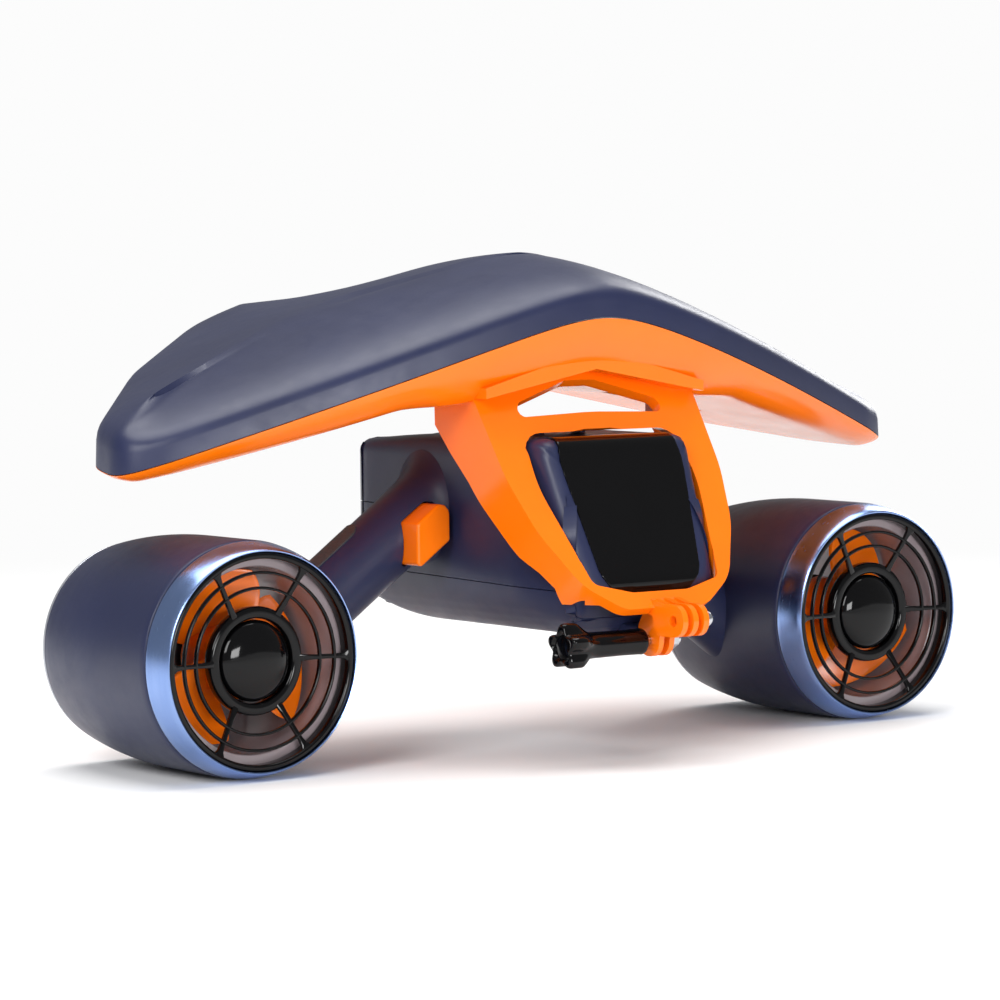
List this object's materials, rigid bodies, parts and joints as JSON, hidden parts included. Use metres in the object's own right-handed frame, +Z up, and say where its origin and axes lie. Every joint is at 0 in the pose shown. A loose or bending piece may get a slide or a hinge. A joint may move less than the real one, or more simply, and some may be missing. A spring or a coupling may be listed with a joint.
{
  "type": "underwater scooter",
  "caption": "Two-handed underwater scooter: ducted thruster pods on sloping handle arms, sealed body, and a wing-shaped floater on a tilting bracket.",
  "frame": {"origin": "on the floor under the centre of the bounding box, where the two pods stand", "axes": "+X is the rider's left, across the two pods; -Y is the nose and the way it travels; +Z is up"},
  "size_m": [0.471, 0.2712, 0.2351],
  "materials": {
    "navy_shell": "satin moulded",
    "blue_metal": "satin anodised",
    "gloss_black": "gloss moulded",
    "duct_grey": "gloss moulded",
    "outlet_silver": "satin",
    "motor_steel": "machined",
    "bush_bronze": "sintered",
    "bright_steel": "polished",
    "orange_plastic": "gloss moulded",
    "grip_rubber": "textured",
    "cable_sheath": "matt",
    "circuit_green": "solder mask",
    "seal_rubber": "matt",
    "battery_case": "painted case over cells",
    "contact_brass": "plated",
    "display_glass": "gloss window",
    "latch_grey": "satin moulded",
    "float_foam": "closed-cell foam"
  },
  "bodies": {
    "scooter": {"pod_shell_left": "navy_shell", "pod_shell_right": "navy_shell", "bezel_left": "blue_metal", "bezel_right": "blue_metal", "guard_left": "gloss_black", "guard_right": "gloss_black", "guard_cap_left": "gloss_black", "guard_cap_right": "gloss_black", "duct_left": "duct_grey", "duct_right": "duct_grey", "outlet_ring_left": "outlet_silver", "outlet_ring_right": "outlet_silver", "motor_mount_left": "duct_grey", "motor_mount_right": "duct_grey", "motor_left": "motor_steel", "motor_right": "motor_steel", "shaft_bush_left": "bush_bronze", "shaft_bush_right": "bush_bronze", "arm_left": "navy_shell", "arm_right": "navy_shell", "grip_pad_left": "grip_rubber", "grip_pad_right": "grip_rubber", "trigger_spring_left": "bright_steel", "trigger_spring_right": "bright_steel", "motor_cable_left": "cable_sheath", "motor_cable_right": "cable_sheath", "arm_screws": "bright_steel", "trigger_sensors": "circuit_green", "upper_shell": "navy_shell", "lower_hull": "navy_shell", "body_screws": "bright_steel", "nose_door": "navy_shell", "nose_panel": "gloss_black", "nose_seal": "seal_rubber", "battery_pack": "battery_case", "battery_contacts": "contact_brass", "control_board": "circuit_green", "display_lens": "display_glass", "display_module": "gloss_black", "latch_pin": "bright_steel", "latch_spring": "bright_steel", "clamp_nut": "bright_steel"},
    "prop_left": {"propeller_left": "orange_plastic", "prop_nut_left": "bright_steel", "motor_shaft_left": "bright_steel"},
    "trigger_left": {"trigger_left": "orange_plastic"},
    "prop_right": {"propeller_right": "orange_plastic", "prop_nut_right": "bright_steel", "motor_shaft_right": "bright_steel"},
    "trigger_right": {"trigger_right": "orange_plastic"},
    "door_latch": {"door_latch": "latch_grey"},
    "floater": {"bracket": "orange_plastic", "camera_nut": "bright_steel", "bracket_screws": "bright_steel", "float_bottom": "orange_plastic", "float_top": "navy_shell", "float_core": "float_foam", "float_screws": "bright_steel"},
    "clamp_screw": {"clamp_knob": "gloss_black", "clamp_stud": "bright_steel"}
  },
  "joints": [
    {"name": "prop_spin_left", "type": "hinge", "parent": "scooter", "child": "prop_left", "pos_m": [0.1815, -0.0234, 0.054], "axis": [0, 1, 0], "continuous": true},
    {"name": "prop_spin_right", "type": "hinge", "parent": "scooter", "child": "prop_right", "pos_m": [-0.1815, -0.0234, 0.054], "axis": [0, 1, 0], "continuous": true},
    {"name": "trigger_press_left", "type": "slide", "parent": "scooter", "child": "trigger_left", "axis": [0, 1, 0], "range_m": [0, 0.005], "stiffness_N_per_m": 400, "springref_m": -0.002, "deforming": ["trigger_spring_left"]},
    {"name": "trigger_press_right", "type": "slide", "parent": "scooter", "child": "trigger_right", "axis": [0, 1, 0], "range_m": [0, 0.005], "stiffness_N_per_m": 400, "springref_m": -0.002, "deforming": ["trigger_spring_right"]},
    {"name": "latch_open", "type": "hinge", "parent": "scooter", "child": "door_latch", "pos_m": [0, -0.0314, 0.1535], "axis": [-1, 0, 0], "range_deg": [0, 25], "stiffness_Nm_per_rad": 0.02, "springref_deg": -11.46},
    {"name": "bracket_tilt", "type": "hinge", "parent": "scooter", "child": "floater", "pos_m": [0, -0.1054, 0.056], "axis": [1, 0, 0], "range_deg": [0, 60]},
    {"name": "clamp_turn", "type": "hinge", "parent": "scooter", "child": "clamp_screw", "pos_m": [-0.03, -0.1054, 0.056], "axis": [1, 0, 0], "continuous": true}
  ]
}
